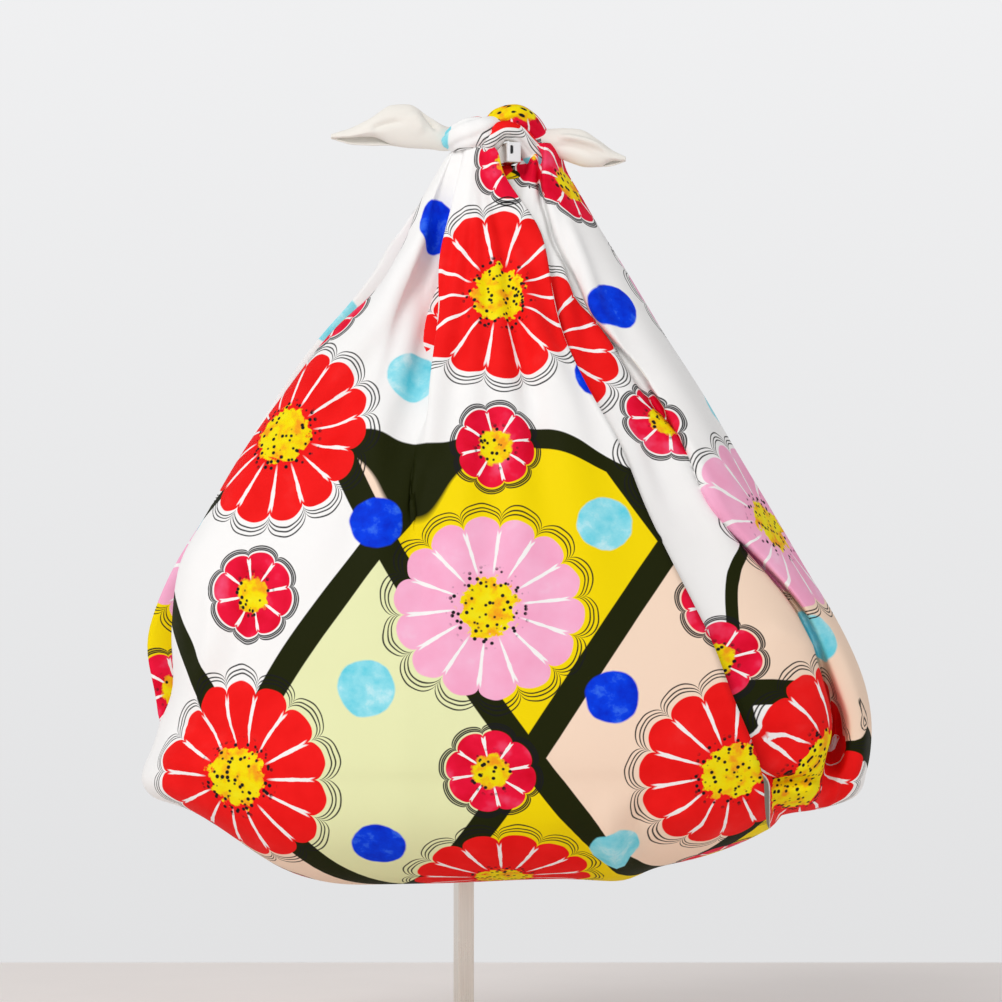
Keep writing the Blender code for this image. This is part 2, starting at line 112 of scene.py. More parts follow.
# The knot's bands and the two loose corners, in millimetres.  A corner's lip is the share of its
# half height by which the front layer's lower edge is lifted off the back layer's.
Band = namedtuple("Band", "x y z wide thick")
KNOT_ARCH = [
    Band(*row)
    for row in (
        (9, -84, 606, 8, 6), (11, -87, 620, 8, 8), (14, -92, 633, 9, 9),
        (20, -96, 643, 9, 9), (30, -97, 648.5, 8, 7), (39, -94, 646, 7, 7),
        (46, -88, 638, 8, 8), (52, -81, 624, 9, 9), (56, -77, 608, 7, 6),
    )
]
KNOT_LEFT = [
    Band(*row)
    for row in (
        (-9, -82, 643, 8, 7), (-2, -91, 645, 9, 10), (6, -97, 646.5, 9, 11.5),
        (14, -97, 648, 9, 11.5), (22, -90, 650, 9, 10), (29, -80, 650, 7, 8),
    )
]
KNOT_RIGHT = [
    Band(*row)
    for row in (
        (20, -82, 651, 8, 7), (27, -88, 657.5, 9, 8.5), (37, -89, 660, 9, 8.5),
        (46, -84, 656, 9, 9), (52, -78, 648, 9, 9), (56, -76, 639, 7, 7),
    )
]
KNOT_UNDER = [
    Band(*row)
    for row in (
        (8, -80, 600, 8, 8), (20, -84, 611, 9, 9), (32, -84, 617, 9, 9),
        (44, -80, 614, 9, 9), (54, -76, 604, 8, 8),
    )
]
Corner = namedtuple("Corner", "x y z high thick lip")
LEFT_CORNER = [
    Corner(*row)
    for row in (
        (4, -80, 645, 7, 6, 0), (-10, -80, 645, 8, 6, 0), (-24, -82, 649, 11, 6, 0),
        (-38, -84, 653.5, 15, 6.5, 0), (-50, -85, 654, 14, 6, 0.05), (-66, -86, 649, 9, 5, 0.7),
        (-82, -86, 646, 4.5, 3, 0.9), (-93, -86, 646, 1.2, 1.2, 0.3),
    )
]
RIGHT_CORNER = [
    Corner(*row)
    for row in (
        (46, -77, 647, 7, 6, 0), (60, -79, 644, 8, 6, 0), (72, -82, 641, 11, 6, 0),
        (84, -84, 638, 12.5, 6, 0), (96, -85, 634, 9, 5, 0), (107, -86, 630.5, 4.5, 3.2, 0.7),
        (115, -86, 630, 1.2, 1.2, 0.3),
    )
]

# Soft folds pressed into a panel: from (x0, z0) to (x1, z1) seen from the front, with half
# width and height in millimetres, each times PRESS.  A negative height is a hollow.
Fold = namedtuple("Fold", "x0 z0 x1 z1 wide high")
FOLDS = {
    "front": (
        (-22, 600, -118, 430, 9, 3.0), (-30, 590, -84, 400, 8, -3.0),
        (-40, 560, -160, 350, 12, -3.5), (-60, 480, -72, 300, 11, 2.5),
        (-22, 430, -50, 330, 9, -3.0), (10, 600, 18, 430, 8, 2.5),
        (14, 560, 52, 380, 9, -2.2), (30, 540, 90, 400, 8, 2.0),
        (-170, 340, -182, 250, 8, 3.0), (-150, 330, -168, 240, 8, -3.0),
        (-205, 232, -120, 206, 9, -4.0), (-212, 212, -150, 190, 8, 3.0),
        (112, 128, 96, 190, 7, 3.0), (118, 130, 130, 200, 7, -3.0),
        (104, 128, 60, 170, 8, -2.5), (180, 160, 140, 190, 9, 2.5),
        (150, 400, 176, 270, 8, 2.0),
    ),
    "side": (
        (205, 300, 246, 276, 6, 2.5), (210, 262, 250, 250, 5, -2.5),
        (200, 236, 246, 232, 6, 2.0), (90, 480, 150, 360, 7, -2.0),
        (120, 460, 190, 330, 8, 2.5), (60, 600, 96, 500, 5, 2.0),
    ),
    "back": (
        (50, 600, 120, 400, 12, 4.0), (30, 600, 20, 380, 12, 4.0),
        (40, 600, 70, 400, 10, -4.0), (10, 600, -80, 400, 12, 4.0),
        (20, 600, -30, 420, 10, -4.0), (-190, 240, -110, 200, 10, -4.0),
        (230, 260, 150, 190, 12, -4.0), (60, 128, 40, 200, 10, 3.0),
    ),
    "corner_left": (
        (-30, 666, -17, 648, 2.4, -3.2), (-36, 664, -28, 646, 4.0, 1.2),
        (-66, 650, -38, 656, 2.6, -1.6),
    ),
    "corner_right": (
        (66, 646, 106, 633, 1.8, -2.6), (62, 640, 98, 630, 3.0, 1.0),
    ),
}

PRESS = 1.5

# Cloth turned in at an open edge, in millimetres: of the front and back panels, of the side's end.
PANEL_TURN = 110.0
SIDE_TURN = 130.0
SLIT_RISE = 70.0

# The shallow folds that fan out from the knot: their height, and how many to a radian times 2 pi.
DRAPE = 1.7
DRAPE_BEAT = 34.0

# Where the front panel's points lie: shares of the way from its left edge to the ridge, and of
# the way from the pleat's edge to the hem, with the side each gather goes to.
FLANK_SHARES = (0.07, 0.24, 0.5, 0.78)
GATHER_SHARES = ((0.12, -0.6), (0.27, -1.0), (0.45, 0.2), (0.63, 0.8), (0.8, -0.6))

# How finely the panels are cut: columns in each span, rows between levels, rows in the bowl.
FINE = 4
FRONT_SPANS = (3, 1, 2, 2, 2, 2, 2, 1, 2, 2, 2, 2, 2, 2, 2)
SIDE_SPANS = (3, 3, 2, 2, 1, 1, 1, 1, 2, 2)
BACK_OPEN = 6
TURNED = FINE * FRONT_SPANS[0]
LEVEL_ROWS = (1, 1, 1, 1, 1, 1, 1, 2, 2, 2, 2, 2, 1, 1, 1, 1, 1, 1)
BOWL_ROWS = 18
CLOSED_LEVELS = 3
CLOSED_ROWS = BOWL_ROWS + FINE * sum(LEVEL_ROWS[:CLOSED_LEVELS]) + 1
BAND_SIDES = 48
BAND_ROWS = 10
BAND_GIRTH = 60.0
CORNER_ROWS = 14
CORNER_SIDES = 96
SOFT_PASSES = 4
SEAM_MARGIN = 3

# The net that lays the cloth flat: its mesh in millimetres, and its turns without and with carry.
NET_MESH = 8.0
CALM_TURNS = 200
NET_TURNS = 1200


def slopes(knots, values):
    """Slope at each knot: the harmonic mean of its two rises, and none at a turn."""
    steps = np.diff(knots)[:, None]
    rises = np.diff(values, axis=0) / steps
    inner = np.zeros_like(values)
    same = rises[:-1] * rises[1:] > 0
    low = np.where(same, rises[:-1], 1.0)
    high = np.where(same, rises[1:], 1.0)
    inner[1:-1] = np.where(same, 2.0 / (1.0 / low + 1.0 / high), 0.0)
    inner[0] = rises[0]
    inner[-1] = rises[-1]
    return inner


def smooth(knots, values, where):
    """Cubic through the values, one row for each knot, with the slopes above, at the places."""
    knots = np.asarray(knots, dtype=float)
    values = np.asarray(values, dtype=float).reshape(len(knots), -1)
    tangents = slopes(knots, values)
    spot = np.clip(np.searchsorted(knots, where, side="right") - 1, 0, len(knots) - 2)
    step = (knots[spot + 1] - knots[spot])[:, None]
    t = (np.asarray(where)[:, None] - knots[spot][:, None]) / step
    return (
        values[spot] * (1 + 2 * t) * (1 - t) ** 2
        + tangents[spot] * step * t * (1 - t) ** 2
        + values[spot + 1] * t**2 * (3 - 2 * t)
        + tangents[spot + 1] * step * t**2 * (t - 1)
    )


def places(knots, counts):
    """Places from the first knot to the last, with the given even parts between knots."""
    runs = [
        np.linspace(knots[i], knots[i + 1], count, endpoint=False)
        for i, count in enumerate(counts)
    ]
    return np.concatenate(runs + [knots[-1:]])


def spots(spans):
    """Places along a section, counted in its points, with FINE places for each span's share."""
    return places(np.arange(len(spans) + 1.0), [FINE * span for span in spans])


def along(points, where):
    """Section through its points, read at places counted in points: 0.5 is past the first.

    The cubic's knots stand apart by the square root of the points' distances.
    """
    chords = np.linalg.norm(np.diff(points, axis=0), axis=1)
    knots = np.concatenate([[0.0], np.cumsum(np.sqrt(chords + 0.01))])
    return smooth(knots, points, np.interp(where, np.arange(len(knots)), knots))


def belly(level, x):
    """Depth of the full front curve: side + (front - side) * sqrt(1 - reach^2.3)."""
    middle = (level.fold_l + level.right) / 2
    half = (level.right - level.fold_l) / 2
    reach = np.clip(np.abs((x - middle) / half), 0.0, 1.0)
    side = level.y_fold + (level.y_right - level.y_fold) * (x - level.fold_l) / (2 * half)
    return side + (level.front - side) * (1 - reach**2.3) ** 0.5


def opened(level):
    """How far the left slit has opened, from 0 at its end to 1 well above it."""
    return min(max((level.z - SLIT_END) / SLIT_RISE, 0.0), 1.0)


def gather(level):
    """Depth of the gathers that fan out from the knot, fading down the cloth."""
    drop = LEVELS[-1].z - level.z
    return 4.5 * math.exp(-drop / 90.0) * min(1.0, 0.3 + drop / 50.0)


def facing(level, width):
    """Width of cloth turned in at an open edge, none at the slit's end or in the knot."""
    width = min(width, 0.42 * (level.right - level.fold_l))
    return width * opened(level) * min(1.0, (LEVELS[-1].z - level.z) / 60.0 + 0.06)


def front_section(level):
    """Front panel on one level: turned-in edge, left flank, pleat, gathers and right hem."""
    columns = np.array([row[1:] for row in PLEAT], dtype=float)
    heights = np.array([row.z for row in PLEAT], dtype=float)
    edge, ridge, lap, deep = smooth(heights, columns, np.array([float(level.z)]))[0]
    turn = facing(level, PANEL_TURN)
    points = [
        (level.fold_l + turn, level.y_fold + 5.0 * opened(level)),
        (level.fold_l, level.y_fold),
    ]
    for share in FLANK_SHARES:
        x = level.fold_l + share * (ridge - level.fold_l)
        points.append((x, belly(level, x)))
    points += [
        (ridge, belly(level, ridge) + 0.4 * deep),
        (edge - 0.35 * (edge - ridge), belly(level, edge) + deep),
        (edge - 0.16 * (edge - ridge) + lap, belly(level, edge) + 0.9 * deep),
        (edge, belly(level, edge)),
    ]
    for share, side in GATHER_SHARES:
        x = edge + share * (level.hem - edge)
        points.append((x, belly(level, x) + side * gather(level)))
    points.append((level.hem, belly(level, level.hem)))
    return np.array([(x, y, level.z) for x, y in points])


def side_section(level):
    """Side panel on one level: hidden end, second strip, crease, mouth and right side."""
    crease = level.crease
    hidden = facing(level, SIDE_TURN)
    reach = crease - level.end_s
    puff = 6.0 if level.z < 340 else 2.0
    lip = 14.0 if level.z < 300 else 1.0
    mouth = crease + level.gap
    outer = mouth + 0.5 * (level.right - mouth)
    inner = belly(level, crease) + 8.0
    deep = min(15.0 + 0.08 * hidden, 24.0)
    points = [
        (level.end_s - hidden, belly(level, level.end_s - hidden) + deep),
        (level.end_s, belly(level, level.end_s) + 15.0),
        (level.end_s + 0.42 * reach, belly(level, level.end_s + 0.42 * reach) + 9.0),
        (level.end_s + 0.72 * reach, belly(level, level.end_s + 0.72 * reach) + 9.0 - puff),
        (crease, inner),
        (crease + 0.15 * level.gap, inner + 0.9 * level.sink),
        (crease + 0.5 * level.gap, inner + 1.3 * level.sink),
        (crease + 0.85 * level.gap, inner + 1.15 * level.sink),
        (mouth, belly(level, mouth) + lip),
        (outer, belly(level, outer) + 0.3 * lip),
        (level.right, level.y_right),
    ]
    return np.array([(x, y, level.z) for x, y in points])


def back_section(level):
    """Back panel on one level, from the right side to its turned-in left edge."""
    width = level.right - level.back_l
    fold = gather(level)
    turn = facing(level, PANEL_TURN)
    bow = level.back - level.y_back
    bow_r = level.back - level.y_right
    points = [
        (level.right, level.y_right),
        (level.right - 0.09 * width, level.y_right + 0.62 * bow_r),
        (level.right - 0.28 * width, level.y_right + 0.93 * bow_r + fold),
        (level.right - 0.5 * width, level.back - fold),
        (level.right - 0.72 * width, level.y_back + 0.93 * bow + 0.6 * fold),
        (level.back_l + 0.09 * width, level.y_back + 0.62 * bow),
        (level.back_l, level.y_back),
        (level.back_l + turn, level.y_back - 2.5 * opened(level)),
    ]
    return np.array([(x, y, level.z) for x, y in points])


def throat(section, ring):
    """Section drawn straight in to the ring: middle + radius * direction."""
    away = section[:, :2] - np.array([ring.x, ring.y])
    away *= ring.radius / np.linalg.norm(away, axis=1)[:, None]
    return np.column_stack([ring.x + away[:, 0], ring.y + away[:, 1], np.full(len(away), ring.z)])


def rows_up(sections):
    """Sections carried upwards by the cubic above, with even rows between levels."""
    shape = np.array(sections)
    knots = np.arange(len(shape), dtype=float)
    where = places(knots, [FINE * count for count in LEVEL_ROWS])
    flat = smooth(knots, shape.reshape(len(shape), -1), where)
    return flat.reshape(len(flat), shape.shape[1], 3)


def keel_points(x):
    """The keel's points at the given places along X."""
    z = smooth([row.x for row in KEEL], [row.z for row in KEEL], x)[:, 0]
    return np.stack([x, np.full_like(x, KEEL_DEPTH), z], axis=1)


def bowl(waist, keel):
    """Quarter ellipses from the keel out and up to the waist."""
    angles = np.linspace(0.0, math.pi / 2, BOWL_ROWS, endpoint=False)[:, None, None]
    out = np.sin(angles)
    up = 1 - np.cos(angles)
    return keel[None] + (waist - keel)[None] * np.concatenate([out, out, up], axis=2)


def softened(grid, passes):
    """Each inner point moved to (before + 2 * itself + after) / 4, along rows and columns."""
    grid = grid.copy()
    for _ in range(passes):
        grid[1:-1] = (grid[:-2] + 2 * grid[1:-1] + grid[2:]) / 4
        grid[:, 1:-1] = (grid[:, :-2] + 2 * grid[:, 1:-1] + grid[:, 2:]) / 4
    return grid


def front_panel():
    """Front panel's grid, rows from the keel up and columns from left to right."""
    where = spots(FRONT_SPANS)
    sections = [along(front_section(level), where) for level in LEVELS]
    sections.append(throat(sections[-1], FRONT_THROAT))
    rows = rows_up(sections)
    waist = rows[0]
    left, right = LEVELS[0].fold_l, LEVELS[0].hem
    shares = (waist[:, 0] - left) / (right - left)
    keel = keel_points(KEEL[0].x + (HEM_FOOT - KEEL[0].x) * shares)
    return np.concatenate([bowl(waist, keel), rows])


def back_places(foot):
    """Places along the back section that stand over the keel's given places, and the edge's."""
    level = LEVELS[0]
    dense = np.linspace(0.0, BACK_OPEN, 601)
    x = along(back_section(level), dense)[:, 0]
    share = (x[0] - x) / (x[0] - x[-1])
    over = np.interp((foot[0] - foot) / (foot[0] - foot[-1]), share, dense)
    return np.concatenate([over, np.linspace(BACK_OPEN, BACK_OPEN + 1, TURNED + 1)[1:]])


def round_panel(front_foot):
    """Side and back panels' grid in one, from the hidden end round the right to the left.

    Its back columns meet the keel where the front's and the side's columns do.
    """
    where = spots(SIDE_SPANS)
    count = len(where)
    side_foot = np.linspace(HEM_FOOT, KEEL[-1].x, count)
    foot = np.concatenate([front_foot, side_foot[1:]])[::-1]
    back_where = back_places(foot)
    sections = []
    for level in LEVELS:
        side = along(side_section(level), where)
        back = along(back_section(level), back_where)
        sections.append(np.concatenate([side, back[1:]]))
    sections.append(throat(sections[-1], BACK_THROAT))
    rows = rows_up(sections)
    waist = rows[0].copy()
    place = np.arange(count) / FINE
    under = np.clip((place[-1] - place) / 6.0, 0.0, 1.0) * np.clip(place / 4.0, 0.0, 1.0)
    tuck = np.maximum(waist[:count, 1], TUCK_DEPTH) - waist[:count, 1]
    rows[0, :count, 1] += tuck * under
    rows[0, :count, 2] += 3.0 * under
    x = np.concatenate([side_foot, foot[1:], np.full(TURNED, KEEL[0].x)])
    return np.concatenate([bowl(waist, keel_points(x)), rows])


def stitched(front, about):
    """Both grids with their shared edges made one: the keel, and the left side's closed foot."""
    side = FINE * sum(SIDE_SPANS)
    foot = np.concatenate([front[0, TURNED:], about[0, 1 : side + 1]])[::-1]
    about[0, side : side + len(foot)] = foot
    about[0, -TURNED:] = foot[-1]
    seam = (front[:CLOSED_ROWS, TURNED] + about[:CLOSED_ROWS, -1 - TURNED]) / 2
    seam[0] = foot[-1]
    front[:CLOSED_ROWS, : TURNED + 1] = seam[:, None]
    about[:CLOSED_ROWS, -1 - TURNED :] = seam[:, None]
    return front, about


def outward(grid):
    """Unit normals of a grid, from the cross product of its two directions."""
    across = np.gradient(grid, axis=1)
    upward = np.gradient(grid, axis=0)
    normal = np.cross(across, upward)
    size = np.linalg.norm(normal, axis=2, keepdims=True)
    return normal / np.maximum(size, 1e-9)


def pressed(grid, panel, mask):
    """Grid moved along its normals by each fold: high * exp(-(off / wide)^2), tapered."""
    x, z = grid[..., 0], grid[..., 2]
    lift = np.zeros_like(x)
    for fold in (Fold(*row) for row in FOLDS[panel]):
        run = np.array([fold.x1 - fold.x0, fold.z1 - fold.z0], dtype=float)
        length = np.linalg.norm(run)
        run /= length
        t = ((x - fold.x0) * run[0] + (z - fold.z0) * run[1]) / length
        bend = 0.06 * length * np.sin(math.pi * np.clip(t, 0, 1))
        off = (x - fold.x0) * run[1] - (z - fold.z0) * run[0] + bend
        fade = np.clip(t / 0.25, 0, 1) * np.clip((1 - t) / 0.4, 0, 1)
        fade = fade * fade * (3 - 2 * fade)
        lift += PRESS * fold.high * fade * np.exp(-((off / fold.wide) ** 2))
    return grid + outward(grid) * (lift * mask)[..., None]


def ramped(value, low, high):
    """Smooth step from 0 at low to 1 at high."""
    t = np.clip((value - low) / (high - low), 0.0, 1.0)
    return t * t * (3 - 2 * t)


def draped(grid, knot, mask):
    """Grid moved along its normals by shallow folds that fan out below the knot.

    They are a sine of the angle at the knot, with an uneven beat, that fades in and out.
    """
    aside = grid[..., 0] - knot.x
    below = knot.z - grid[..., 2]
    angle = np.arctan2(aside, np.maximum(below, 1.0))
    away = np.hypot(aside, below)
    fade = ramped(away, 25.0, 110.0) * (1.0 - ramped(away, 220.0, 460.0))
    lift = DRAPE * fade * np.sin(DRAPE_BEAT * angle + 2.2 * np.sin(5.0 * angle) + away / 90.0)
    return grid + outward(grid) * (lift * mask)[..., None]


def row_lengths(grid):
    """Length along each row up to each of its points."""
    steps = np.linalg.norm(np.diff(grid, axis=1), axis=2)
    return np.concatenate([np.zeros((len(grid), 1)), np.cumsum(steps, axis=1)], axis=1)


def even_picks(lengths):
    """Numbers of the points that lie about a net's mesh apart, the first and last among them."""
    marks = np.linspace(0.0, lengths[-1], int(lengths[-1] / NET_MESH) + 1)
    picks = np.searchsorted(lengths, marks).clip(0, len(lengths) - 1)
    return np.unique(np.append(picks, len(lengths) - 1))


def link_ends(grid, down, across):
    """The two ends of every link of a net that reaches some rows down and columns across."""
    rows, columns = grid.shape[:2]
    if across < 0:
        return grid[: rows - down, -across:], grid[down:, : columns + across]
    return grid[: rows - down, : columns - across], grid[down:, across:]


def relaxed(net, flat):
    """Flat map let go as a net: each link moves its ends by half its error, with some carry.

    Links two meshes long only push, where they are short, which keeps the map from folding.
    """
    links = []
    for down, across in ((0, 1), (1, 0), (1, 1), (1, -1)):
        start, end = link_ends(net, down, across)
        links.append((down, across, np.linalg.norm(end - start, axis=2), np.inf))
    for down, across in ((0, 2), (2, 0)):
        single = links[0][2] if across else links[1][2]
        start, end = link_ends(single, down // 2, across // 2)
        links.append((down, across, 0.9 * (start + end), 0.0))
    count = np.zeros(flat.shape[:2])
    for down, across, _, _ in links[:4]:
        for part in link_ends(count, down, across):
            part += 1
    speed = np.zeros_like(flat)
    for turn in range(CALM_TURNS + NET_TURNS):
        push = np.zeros_like(flat)
        for down, across, rest, pull in links:
            start, end = link_ends(flat, down, across)
            apart = end - start
            length = np.sqrt((apart * apart).sum(axis=2))
            off = np.minimum(length - rest, pull) / np.maximum(length, 1e-6)
            move = (0.5 * off)[..., None] * apart
            first, last = link_ends(push, down, across)
            first += move
            last -= move
        carry = 0.0 if turn < CALM_TURNS else 0.95
        speed = carry * speed + 0.9 * push / count[..., None]
        flat = flat + speed
    return flat


def flattened(grid, zero):
    """Cloth coordinates that keep the sheet's own lengths, from a net laid on its points.

    The net starts with length along each row from column zero, and length up that column.
    """
    across = row_lengths(grid)
    up = row_lengths(grid[:, zero][None])[0]
    rows = even_picks(up)
    columns = even_picks(across[2 * BOWL_ROWS])
    start = across[np.ix_(rows, columns)] - across[rows, zero][:, None]
    flat = np.stack([start, up[rows][:, None] + 0 * start], axis=2)
    flat = relaxed(grid[np.ix_(rows, columns)], flat)
    wide = np.array(
        [
            [np.interp(across[row], across[row, columns], flat[i, :, k]) for k in (0, 1)]
            for i, row in enumerate(rows)
        ]
    )
    spot = np.clip(np.searchsorted(rows, np.arange(len(grid)), side="right") - 1, 0, len(rows) - 2)
    share = (up - up[rows[spot]]) / (up[rows[spot + 1]] - up[rows[spot]])
    share = share[:, None, None]
    return np.moveaxis(wide[spot] * (1 - share) + wide[spot + 1] * share, 1, 2)


def turned_to(flat, own, other):
    """Map turned and shifted so that its own points fall as near as they can to the others."""
    start, goal = own.mean(axis=0), other.mean(axis=0)
    a, b = own - start, other - goal
    angle = math.atan2((a[:, 0] * b[:, 1] - a[:, 1] * b[:, 0]).sum(), (a * b).sum())
    turn = np.array([[math.cos(angle), math.sin(angle)], [-math.sin(angle), math.cos(angle)]])
    return (flat - start) @ turn + goal


def grid_faces(rows, columns, first=0, ring=False):
    """Quads of a grid, four corner numbers each; ring joins its last column to the first."""
    r = np.arange(rows - 1)[:, None]
    c = np.arange(columns if ring else columns - 1)[None, :]
    after = (c + 1) % columns
    corners = [r * columns + c, r * columns + after, (r + 1) * columns + after]
    corners.append((r + 1) * columns + c)
    return np.stack([corner.reshape(-1) for corner in corners], axis=1) + first


def mesh_piece(name, points, faces, cloth, materials):
    """Mesh from points in millimetres, its faces, and cloth coordinates for each point."""
    mesh = bpy.data.meshes.new(name)
    mesh.from_pydata((points * MM).tolist(), [], faces.tolist())
    corners = np.zeros(len(mesh.loops), dtype=np.int32)
    mesh.loops.foreach_get("vertex_index", corners)
    layer = mesh.uv_layers.new(name="cloth")
    layer.data.foreach_set("uv", (cloth[corners] * MM).astype(np.float32).reshape(-1))
    for material in materials:
        mesh.materials.append(material)
    mesh.shade_smooth()
    mesh.validate()
    thing = bpy.data.objects.new(name, mesh)
    bpy.context.scene.collection.objects.link(thing)
    return thing


def weld(thing):
    """Merge a mesh's points that lie within a step of each other, and keep its cloth map."""
    shape = bmesh.new()
    shape.from_mesh(thing.data)
    bmesh.ops.remove_doubles(shape, verts=shape.verts, dist=WELD_STEP)
    shape.to_mesh(thing.data)
    shape.free()


def node_with(tree, kind, values):
    """New node of a kind, with values for its inputs by name."""
    node = tree.nodes.new(kind)
    for name, value in values.items():
        node.inputs[name].default_value = value
    return node


def mapped(tree, source, start, end, values=(0.0, 1.0)):
    """Output that runs between two values while the source runs from start to end."""
    span = {"From Min": start, "From Max": end, "To Min": values[0], "To Max": values[1]}
    node = node_with(tree, "ShaderNodeMapRange", span)
    tree.links.new(source, node.inputs["Value"])
    return node.outputs["Result"]


class Field:
    """A number that varies over the surface; arithmetic on it adds Math nodes."""

    def __init__(self, tree, source):
        self.tree = tree
        self.source = source

    def math(self, operation, *others, clamp=False):
        """Field made by one Math node from this field and the others."""
        node = self.tree.nodes.new("ShaderNodeMath")
        node.operation = operation
        node.use_clamp = clamp
        for socket, value in zip(node.inputs, (self, *others)):
            if isinstance(value, Field):
                self.tree.links.new(value.source, socket)
            else:
                socket.default_value = value
        return Field(self.tree, node.outputs[0])

    def __add__(self, other):
        return self.math("ADD", other)

    def __sub__(self, other):
        return self.math("SUBTRACT", other)

    def __mul__(self, other):
        return self.math("MULTIPLY", other)

    def __truediv__(self, other):
        return self.math("DIVIDE", other)

    def within(self, limit, soft):
        """1 where the field is below the limit and 0 above it, over a soft width."""
        return Field(self.tree, mapped(self.tree, self.source, limit + soft, limit - soft))


class Painter:
    """Lays colours over each other in a material, and holds its cloth coordinates."""

    def __init__(self, name, gloss=0.5, coords="cloth"):
        self.material = bpy.data.materials.new(name)
        self.material.use_nodes = True
        self.tree = self.material.node_tree
        self.shader = self.tree.nodes["Principled BSDF"]
        self.shader.inputs["Specular IOR Level"].default_value = gloss
        if coords == "cloth":
            place = self.tree.nodes.new("ShaderNodeUVMap")
            place.uv_map = "cloth"
            self.where = place.outputs["UV"]
        else:
            place = self.tree.nodes.new("ShaderNodeTexCoord")
            self.where = place.outputs["Object"]
        split = self.tree.nodes.new("ShaderNodeSeparateXYZ")
        self.tree.links.new(self.where, split.inputs[0])
        self.u = Field(self.tree, split.outputs["X"])
        self.v = Field(self.tree, split.outputs["Y"])
        self.w = Field(self.tree, split.outputs["Z"])
        self.colour = None

    def noise(self, scale, detail=2.0, rough=0.5):
        """Field of noise around a half."""
        grain = {"Scale": scale, "Detail": detail, "Roughness": rough}
        node = node_with(self.tree, "ShaderNodeTexNoise", grain)
        self.tree.links.new(self.where, node.inputs["Vector"])
        return Field(self.tree, node.outputs["Fac"])

    def wash(self, fac, stops):
        """Colour that runs through the stops, each a place from 0 to 1 and a colour."""
        node = self.tree.nodes.new("ShaderNodeValToRGB")
        ramp = node.color_ramp
        ramp.elements[0].position = stops[0][0]
        ramp.elements[0].color = (*stops[0][1], 1.0)
        ramp.elements[1].position = stops[-1][0]
        ramp.elements[1].color = (*stops[-1][1], 1.0)
        for place, colour in stops[1:-1]:
            ramp.elements.new(place).color = (*colour, 1.0)
        self.tree.links.new(fac.source, node.inputs["Fac"])
        return node.outputs["Color"]

    def mottle(self, fac, tint, low):
        """Set the colour to one that runs from a darker share of the tint to the tint."""
        self.colour = self.wash(fac, ((0.3, tuple(low * c for c in tint)), (0.7, tint)))

    def glow(self, tint, strength):
        """Give the surface a light of its own."""
        self.shader.inputs["Emission Color"].default_value = (*tint, 1.0)
        self.shader.inputs["Emission Strength"].default_value = strength

    def lay(self, mask, colour):
        """Put a colour over what is there, where the mask is 1."""
        node = self.tree.nodes.new("ShaderNodeMix")
        node.data_type = "RGBA"
        under, over = node.inputs[6], node.inputs[7]
        for socket, value in ((under, self.colour), (over, colour)):
            if isinstance(value, tuple):
                socket.default_value = (*value, 1.0)
            else:
                self.tree.links.new(value, socket)
        self.tree.links.new(mask.source, node.inputs[0])
        self.colour = node.outputs[2]

    def finish(self, rough, bump=None, strength=0.1, distance=0.0005):
        """Connect the colour, roughness and bump to the shader, and return the material."""
        if isinstance(self.colour, tuple):
            self.shader.inputs["Base Color"].default_value = (*self.colour, 1.0)
        else:
            self.tree.links.new(self.colour, self.shader.inputs["Base Color"])
        if isinstance(rough, Field):
            self.tree.links.new(rough.source, self.shader.inputs["Roughness"])
        else:
            self.shader.inputs["Roughness"].default_value = rough
        if bump is not None:
            depth = {"Strength": strength, "Distance": distance}
            node = node_with(self.tree, "ShaderNodeBump", depth)
            self.tree.links.new(bump.source, node.inputs["Height"])
            self.tree.links.new(node.outputs["Normal"], self.shader.inputs["Normal"])
        return self.material


Cell = namedtuple("Cell", "x y seed turn")


def distance(x, y):
    """Field of sqrt(x^2 + y^2)."""
    return (x * x + y * y).math("SQRT")


def weave(paint):
    """Height of a plain weave: |sin| of each direction at the thread's pitch, added."""
    turn = math.pi / THREAD
    warp = (paint.u * turn).math("SINE").math("ABSOLUTE")
    weft = (paint.v * turn).math("SINE").math("ABSOLUTE")
    return warp + weft + paint.noise(900.0) * 0.6


def half_drop(paint, shift_u, shift_v):
    """Offsets from a place near the middle of a half-drop repeat's cell, its number and turn."""
    wide, high = REPEAT
    across = (paint.u + shift_u) / wide
    column = across.math("FLOOR")
    odd = column.math("PINGPONG", 1.0)
    up = (paint.v + shift_v) / high + odd * 0.5
    row = up.math("FLOOR")
    x = (across - column - 0.5) * wide
    y = (up - row - 0.5) * high
    seed = ((column * 12.9898 + row * 78.233).math("SINE") * 437.585453).math("FRACT")
    x = x + (seed - 0.5) * 0.014
    y = y + ((seed * 7.3).math("FRACT") - 0.5) * 0.014
    return Cell(x, y, seed, (row + column * 2.0).math("FLOORED_MODULO", 3.0))


